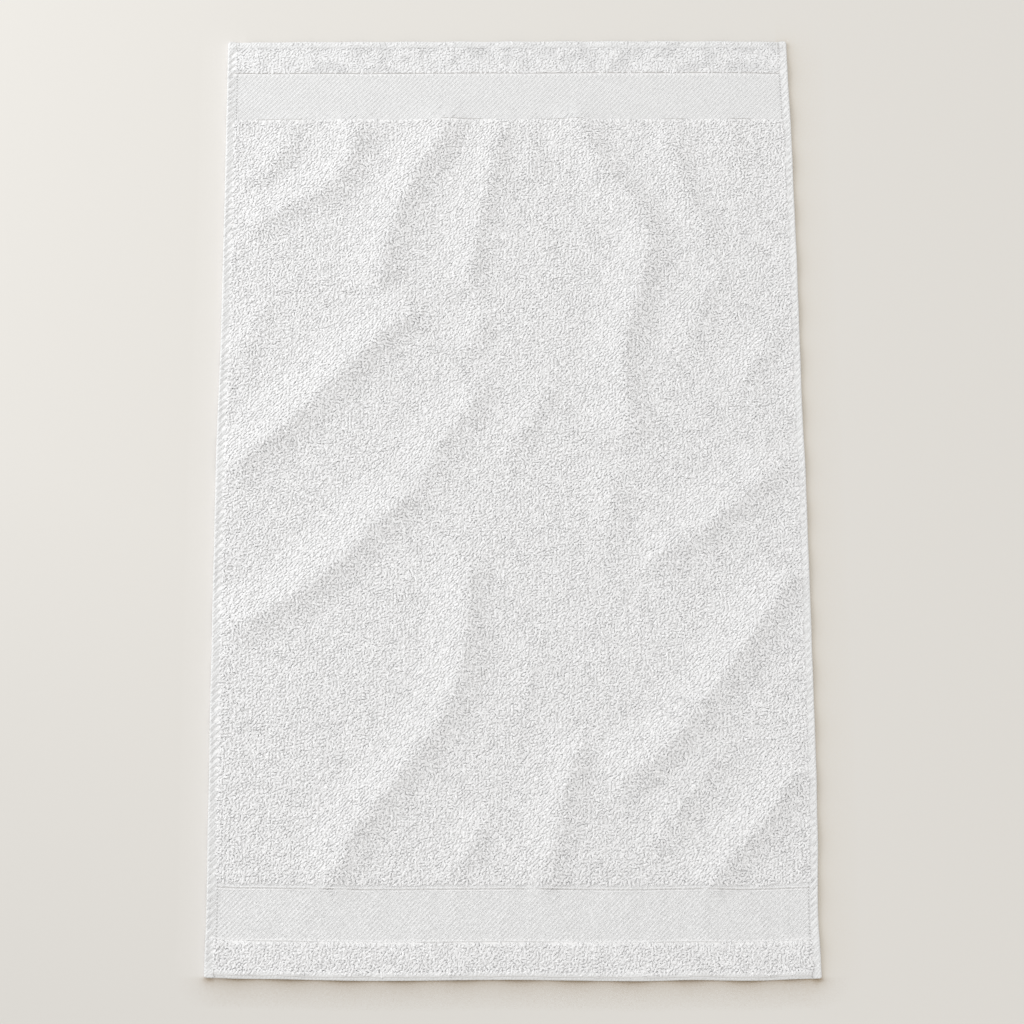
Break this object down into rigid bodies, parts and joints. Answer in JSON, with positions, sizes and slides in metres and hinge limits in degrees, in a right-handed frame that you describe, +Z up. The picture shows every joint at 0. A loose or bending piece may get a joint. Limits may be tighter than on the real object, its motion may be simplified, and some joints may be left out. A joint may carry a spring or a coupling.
{
  "type": "bath sheet",
  "caption": "Flat rectangular bath sheet in white cotton terry with ribbed woven end bands and turned hems, lying with soft diagonal folds.",
  "frame": {"origin": "middle of the cloth's outline, on the surface it lies on", "axes": "+X across the cloth, +Y along it towards its upper end, +Z up out of the terry side that shows"},
  "size_m": [0.9122, 1.504, 0.0148],
  "materials": {
    "white_terry": "matte looped cotton"
  },
  "bodies": {
    "root": {"bath_sheet_cloth": "white_terry"}
  },
  "joints": []
}
